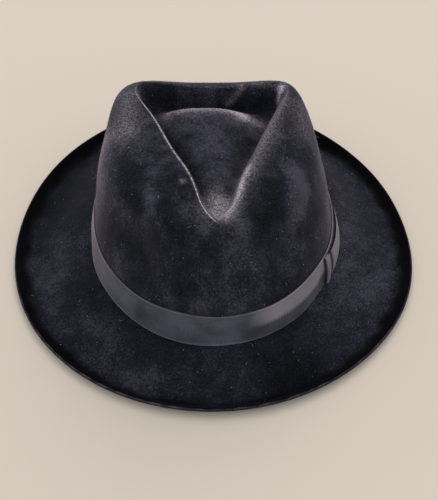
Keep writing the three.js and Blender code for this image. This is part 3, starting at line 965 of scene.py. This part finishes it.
def addRibs(piece, pitch, material):
    # fine ribs across the ribbon, by how far along it each point lies
    values = {"Rib Pitch": float(pitch), "Rib Depth": ribbon["ribDepth"] / 1000, "Material": material}
    tree, given = startTree("grosgrainRibs", values)
    along, ribbed = (
        addNode(tree, "GeometryNodeInputNamedAttribute", {"data_type": "FLOAT"}, {"Name": name})
        for name in ("along", "ribbed")
    )
    height = along
    for operation, amount in (
        ("DIVIDE", given["Rib Pitch"]), ("MULTIPLY", 2 * math.pi), ("SINE", 0.0),
        ("MULTIPLY", ribbed), ("MULTIPLY", given["Rib Depth"]),
    ):
        height = addNode(tree, "ShaderNodeMath", {"operation": operation}, {0: height, 1: amount})
    offset = addNode(tree, "ShaderNodeVectorMath", {"operation": "SCALE"}, {
        0: addNode(tree, "GeometryNodeInputNormal"), "Scale": height,
    })
    moved = addNode(tree, "GeometryNodeSetPosition", inputs={
        "Geometry": given["Geometry"], "Offset": offset,
    })
    finishTree(tree, moved, given["Material"])
    runTree(piece, tree, values)


def ribbonProfile():
    # heights up the ribbon's outside, close together at the selvedges
    selvedge, height = ribbon["selvedge"], ribbon["height"]
    flat = selvedge * ribbon["flatFrom"]
    middle = np.linspace(flat, height - flat, ribbon["flatRows"])
    lowEdge = [0, selvedge * 0.5, selvedge]
    return np.array([*lowEdge, *middle, *(height - np.array(lowEdge[::-1]))])


def selvedgeRise(up):
    edge = np.minimum(up, ribbon["height"] - up)
    return ribbon["selvedgeRise"] * (edge <= ribbon["selvedge"])


def makeBand(material):
    count = ribbon["columns"]
    turn = halfTurns(count)
    bent = plateau(turn, ribbon["bendRise"], ribbon["bendFall"])
    onRight = plateau(-turn, bandFadeAndLight["rightRise"], bandFadeAndLight["rightFall"])
    onLeft = plateau(turn, bandFadeAndLight["leftRise"], bandFadeAndLight["leftFall"])
    atRightEar = np.exp(-((turn - bandFadeAndLight["earPlace"]) / bandFadeAndLight["earSpread"]) ** 2)
    selvedgeShare = 1 - 2 * ribbon["selvedge"] / ribbon["height"]

    def rowAt(up, off):
        size = wallSize((ribbon["foot"] + up) / felt["crownHeight"], ribbon["clearance"])
        row = outline(**size, count=count)
        row += outwards(row) * np.reshape(off, (-1, 1))
        row[:, 2] = felt["rootHeight"] + ribbon["foot"] + up
        return row

    rows, ribbed, fadedAndLit = [], [], []
    for up in ribbonProfile():
        share = 2 * up / ribbon["height"] - 1
        crease = bent * ribbon["bend"] * (1 - abs(share)) + (1 - bent) * ribbon["swell"] * (1 - share ** 2)
        rows.append(rowAt(up, ribbon["thickness"] + selvedgeRise(up) + crease))
        ribbed.append(np.full(count, float(ribbon["selvedge"] < up < ribbon["height"] - ribbon["selvedge"])))
        # painted sheen over the wearer's right side, strongest near the ear and on the lower selvedge there,
        # painted light on the upper half of the wearer's left side; the selvedges a little lighter all round
        rightFadeAndLight = bandFadeAndLight["right"] + bandFadeAndLight["rightEar"] * atRightEar
        rightFadeAndLight = rightFadeAndLight + bandFadeAndLight["rightLowerSelvedge"] * (share <= -selvedgeShare)
        leftFadeAndLight = bandFadeAndLight["leftUpper"] * smoothStep(share, *bandFadeAndLight["halves"]) + bandFadeAndLight["leftLower"]
        fadeAndLight = onRight * rightFadeAndLight + onLeft * leftFadeAndLight + bandFadeAndLight["selvedges"] * (abs(share) >= selvedgeShare)
        fadedAndLit.append(np.clip(fadeAndLight, bandFadeAndLight["least"], bandFadeAndLight["most"]))
    for up in (ribbon["height"], ribbon["height"] / 2, 0):
        rows.append(rowAt(up, 0.0))
        ribbed.append(np.zeros(count))
        fadedAndLit.append(np.zeros(count))

    ring = wavered(np.array(rows) + middleShift).reshape(-1, 3)
    quads = ringQuads(len(rows) + 1, count) % len(ring)
    piece = makePiece("ribbon_band", ring, quads.tolist(), material)
    steps = np.linalg.norm(np.diff(rows[0], axis=0), axis=1)
    along = np.concatenate([[0], np.cumsum(steps)])
    length = along[-1] + steps[-1]
    told = {"along": [along] * len(rows), "ribbed": ribbed, "fadedAndLit": fadedAndLit}
    for name, values in told.items():
        addAttribute(piece, name, np.concatenate(values))
    addAttribute(piece, "shaded", np.zeros(len(ring)))
    addRibs(piece, length / round(length / ribbon["ribPitch"]), material)
    return piece, length


# Grosgrain ribbon of rayon on cotton: a close blue-grey ribbed weave, duller than satin, that turns
# lighter and warmer where it is seen along the surface. Its yarns are drawn coarser, so that they show.
grosgrain = {
    # the faded tone paints the lighter parts of the band and bow, mostly painted sheen and light; the shadow
    # tone paints shade in the bow's folds
    "dark": "#33363f", "light": "#565a66", "fadedAndLit": "#b2a7b0", "shadow": "#0c0c10",
    "fadedAndLitMost": 0.5,
    "blotchSize": 22.0, "blotchDetail": 2.0, "threadSize": 0.9, "threadDetail": 1.0, "threadShare": 0.4,
    "tones": (0.5, 0.95),  # where the pattern is darkest and where it is lightest
    "bumpHeight": 0.1, "bumpStrength": 0.4,
    "sheenTint": "#f0e6ee", "sheen": 0.35, "sheenRoughness": 0.25,
    "roughness": 0.6, "specular": 0.3,
}


def makeGrosgrain():
    material, tree, shader = startMaterial("grosgrainRibbon", grosgrain)
    place = addNode(tree, "ShaderNodeTexCoord", output="Object")
    blotches, threads = (
        addNode(tree, "ShaderNodeTexNoise", inputs={
            "Vector": place, "Scale": perMetre(grosgrain[name + "Size"]),
            "Detail": grosgrain[name + "Detail"],
        })
        for name in ("blotch", "thread")
    )
    fadedAndLit, shaded = (
        addNode(tree, "ShaderNodeAttribute", {"attribute_name": name}, output="Fac")
        for name in ("fadedAndLit", "shaded")
    )
    tone = addNode(tree, "ShaderNodeMath", {"operation": "MULTIPLY_ADD"}, {
        0: threads, 1: grosgrain["threadShare"], 2: blotches,
    })
    darkest, lightest = grosgrain["tones"]
    lightShare = addNode(tree, "ShaderNodeMapRange", inputs={
        "Value": tone, "From Min": darkest, "From Max": lightest,
    })
    fadedAndLitShare = addNode(tree, "ShaderNodeMath", {"operation": "MULTIPLY", "use_clamp": True}, {
        0: fadedAndLit, 1: grosgrain["fadedAndLitMost"],
    })
    colour = linearColour(grosgrain["dark"])
    for name, share in (("light", lightShare), ("fadedAndLit", fadedAndLitShare), ("shadow", shaded)):
        colour = addNode(tree, "ShaderNodeMix", {"data_type": "RGBA"}, {
            0: share, 6: colour, 7: linearColour(grosgrain[name]),
        }, output=2)
    bump = addNode(tree, "ShaderNodeBump", inputs={
        "Height": threads, "Distance": grosgrain["bumpHeight"] / 1000, "Strength": grosgrain["bumpStrength"],
    })
    tree.links.new(colour, shader.inputs["Base Color"])
    tree.links.new(bump, shader.inputs["Normal"])
    return material


grosgrainMaterial = makeGrosgrain()
bandPiece, bandLength = makeBand(grosgrainMaterial)
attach(bandPiece, "root")
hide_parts("hat_band")
print("band made", round(bandLength), "mm of ribbon")


# The bow on the wearer's left: a flat loop that points back, and the knot over its root
bow = {
    "thickness": 0.5, "height": 23.0,
    "place": -48.5,  # middle of the knot along the band, before the wearer's left ear
    "length": 48.0, "tail": 1.2,  # from the middle of the knot to the fold and to the ribbon's ends
    "slit": 1.0, "swell": 1.5,
    "step": 0.4, "smoothPasses": 30,
    "knotLength": 6.0, "knotSwell": 0.6, "knotPinch": 0.15, "knotCrown": 0.25,
    "knotRollFront": 0.5, "knotRollBack": 0.2,  # how far its edges roll down to the band
    "knotRoll": (0.2, 0.5), "knotDark": (0.34, 0.44), "knotDarkest": 0.95,  # shares of its length
    "knotRows": 41, "knotColumns": 25,
    # how much lighter the bow's ribbon is painted all over
    "fadedAndLit": 0.6, "shadeWidth": 1.6, "shadePlace": 5.6,
}

# Along the loop: how far the slit between its two ribbons and the outer one's swell have opened
loopRows = table(
    "along slit swell",
    (-1, 0, 0.3), (0, 0, 0.3), (0.07, 0.1, 0.4), (0.2, 0.7, 0.9),
    (0.42, 1, 1), (0.66, 0.8, 0.85), (0.86, 0.4, 0.5), (1, 0, 0.15),
)


def swellAt(up, height):
    # 1 in the middle of a ribbon's height, 0 at its edges
    return 1 - (2 * up / height - 1) ** 2


def onBand(back, off, up):
    # places on the band near the wearer's left ear: back along it, off it and up it
    back, off, up = np.broadcast_arrays(back, off, up)
    angle = back / (felt["headLength"] / 2)
    standsOff = ribbon["clearance"] + ribbon["thickness"] + ribbon["swell"] * swellAt(up, ribbon["height"])
    size = wallSize((ribbon["foot"] + up) / felt["crownHeight"], standsOff)
    length = np.where(back < 0, size["front"], size["back"])
    flat = np.zeros_like(off)
    outward = unit(np.stack([np.cos(angle) / size["side"], np.sin(angle) / length, flat], -1))
    height = felt["rootHeight"] + ribbon["foot"] + up
    place = np.stack([size["side"] * np.cos(angle), length * np.sin(angle), height], -1)
    return wavered(place + outward * off[..., None] + middleShift)


def makeStrip(name, outer, inner, told, material):
    # a closed strip of ribbon through sections, each with its outer and its inner side
    sections, count = outer.shape[:2]
    rings = np.concatenate([outer, inner[:, ::-1]], 1)
    quads = ringQuads(sections, 2 * count).tolist()
    last = (sections - 1) * 2 * count
    for i in range(count - 1):
        cap = [i, i + 1, 2 * count - 2 - i, 2 * count - 1 - i]
        quads.append(cap[::-1])
        quads.append([last + k for k in cap])
    piece = makePiece(name, rings.reshape(-1, 3), quads, material)
    shell = bmesh.new()
    shell.from_mesh(piece.data)
    bmesh.ops.recalc_face_normals(shell, faces=shell.faces)
    shell.to_mesh(piece.data)
    shell.free()
    addAttribute(piece, "fadedAndLit", np.full(len(piece.data.vertices), bow["fadedAndLit"]))
    for key, values in told.items():
        outside = np.broadcast_to(values, (sections, count))
        inside = np.ones_like(outside) if key == "shaded" else outside[:, ::-1]
        addAttribute(piece, key, np.concatenate([outside, inside], 1).ravel())
    addRibs(piece, ribbon["ribPitch"], material)
    return piece


def makeLoop(material):
    thickness, length = bow["thickness"], bow["length"]
    innerOff = ribbon["clearance"] + thickness / 2
    closedOff = innerOff + thickness + ribbon["clearance"]
    middle, radius = (innerOff + closedOff) / 2, (closedOff - innerOff) / 2
    places = [row["along"] * (length if row["along"] > 0 else bow["tail"]) for row in loopRows]
    straight = np.arange(-bow["tail"], length, bow["step"])
    slit = np.interp(straight, places, [row["slit"] for row in loopRows])
    swell = np.interp(straight, places, [row["swell"] for row in loopRows])
    for _ in range(bow["smoothPasses"]):
        slit[1:-1] = (slit[:-2] + slit[2:]) / 2
        swell[1:-1] = (swell[:-2] + swell[2:]) / 2
    fold = np.radians(np.arange(-75, 90, 30))
    pathAlong = np.concatenate([straight, length + radius * np.cos(fold), straight[::-1]])
    pathOff = np.concatenate([
        np.full(len(straight), innerOff), middle + radius * np.sin(fold),
        closedOff + bow["slit"] * slit[::-1],
    ])
    atFold = np.linspace(0, swell[-1], len(fold))
    pathSwell = np.concatenate([np.zeros(len(straight)), atFold, swell[::-1]]) * bow["swell"]

    way = unit(np.stack([np.gradient(pathAlong), np.gradient(pathOff)], 1))
    edge = (ribbon["height"] - bow["height"]) / 2
    up = edge + ribbonProfile() * bow["height"] / ribbon["height"]
    bulge = swellAt(up - edge, bow["height"])
    offs = pathOff[:, None] + pathSwell[:, None] * bulge
    sides = []
    for side in (1, -1):
        along = pathAlong + side * way[:, 1] * thickness / 2
        off = offs - side * way[:, :1] * thickness / 2
        if side < 0:
            off = off + selvedgeRise(ribbonProfile()) * np.sign(-way[:, :1])
        sides.append(onBand(bow["place"] + np.repeat(along[:, None], len(up), 1), off, up))
    run = np.concatenate([[0], np.cumsum(np.hypot(np.diff(pathAlong), np.diff(pathOff)))])
    ribbed = (up > edge + ribbon["selvedge"]) & (up < edge + bow["height"] - ribbon["selvedge"])
    beside = np.exp(-((pathAlong - bow["shadePlace"]) / bow["shadeWidth"]) ** 2)
    told = {"along": run[:, None], "ribbed": ribbed.astype(float), "shaded": beside[:, None]}
    return makeStrip("ribbon_bow_loop", *sides, told, material), run[-1]


def makeKnot(material):
    # a short ribbon across the root of the loop, turned in over its edges to the band
    thickness, gap = bow["thickness"], ribbon["clearance"]
    over = 2 * thickness + 3 * gap
    low = (ribbon["height"] - bow["height"]) / 2 - gap
    high = ribbon["height"] - low
    share = np.linspace(0, 1, bow["knotRows"])
    swell = bow["knotSwell"] * swellAt(share, 1)
    reach = bow["height"] / 2 + gap
    middle = ribbon["height"] / 2
    innerUp = np.array([low, *(middle + (2 * share - 1) * reach), high])
    outerUp = np.array([low - thickness, *(middle + (2 * share - 1) * (reach + thickness)), high + thickness])
    innerOff = np.array([gap, *(over + swell), gap])
    outerOff = np.array([gap, *(over + thickness + swell), gap])
    across = np.linspace(0.5, -0.5, bow["knotColumns"])[:, None]
    atEdge = np.where(across < 0, bow["knotRollFront"], bow["knotRollBack"])
    roll = atEdge * smoothStep(np.abs(across), *bow["knotRoll"])
    sides = []
    for off, up in ((outerOff, outerUp), (innerOff, innerUp)):
        # pinched in the middle of its height, with edges that roll down to the loop
        width = 1 - bow["knotPinch"] * np.interp(up, outerUp, np.array([0, *swellAt(share, 1), 0]))
        crown = (1 - (2 * across) ** 4) * bow["knotCrown"] * (off > over)
        sides.append(onBand(bow["place"] + across * bow["knotLength"] * width, off * (1 - roll) + crown, up))
    run = np.array([0, *np.cumsum(np.hypot(np.diff(outerOff), np.diff(outerUp)))])
    ribbed = (np.abs(across) < 0.5 - ribbon["selvedge"] / bow["knotLength"]).astype(float)
    edges = bow["knotDarkest"] * smoothStep(np.abs(across), *bow["knotDark"])
    return makeStrip("ribbon_bow_knot", *sides, {"along": run, "ribbed": ribbed, "shaded": edges}, material)


loopPiece, loopLength = makeLoop(grosgrainMaterial)
knotPiece = makeKnot(grosgrainMaterial)
for piece, node in ((loopPiece, "bow_loop"), (knotPiece, "bow_knot")):
    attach(piece, "root")
    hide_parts(node)
print("bow made from", round(loopLength), "mm of ribbon")


# The floor and the light of a pale room with a window behind the hat

room = {
    "floorColour": "#ddd4c2",
    "floorWidth": 40000.0,
    "roughness": 0.9,
    "skyColour": "#eeecf2",
    "skyStrength": 0.95,
    "windowPlace": (900.0, 3000.0, 2900.0),
    "windowAim": (0.0, 0.0, 40.0),
    "windowWidth": 3200.0,
    "windowPower": 50.0,
    "windowColour": "#fff4e8",
}


def makeRoom():
    bpy.ops.mesh.primitive_plane_add(size=room["floorWidth"] / 1000)
    floor = bpy.context.object
    floor.name = "floor"
    material, _, shader = startMaterial("paleFloor", room)
    shader.inputs["Base Color"].default_value = linearColour(room["floorColour"])
    floor.data.materials.append(material)

    world = bpy.data.worlds.new("room")
    world.use_nodes = True
    sky = world.node_tree.nodes["Background"]
    sky.inputs["Color"].default_value = linearColour(room["skyColour"])
    sky.inputs["Strength"].default_value = room["skyStrength"]
    scene.world = world

    light = bpy.data.lights.new("window", "AREA")
    light.shape = "SQUARE"
    light.size = room["windowWidth"] / 1000
    light.energy = room["windowPower"]
    light.color = linearColour(room["windowColour"])[:3]
    window = bpy.data.objects.new("window", light)
    scene.collection.objects.link(window)
    place = Vector(room["windowPlace"]) / 1000
    back = place - Vector(room["windowAim"]) / 1000
    window.matrix_world = Matrix.Translation(place) @ back.to_track_quat("Z", "Y").to_matrix().to_4x4()
    scene.view_settings.view_transform = "Standard"


makeRoom()
print("room made")
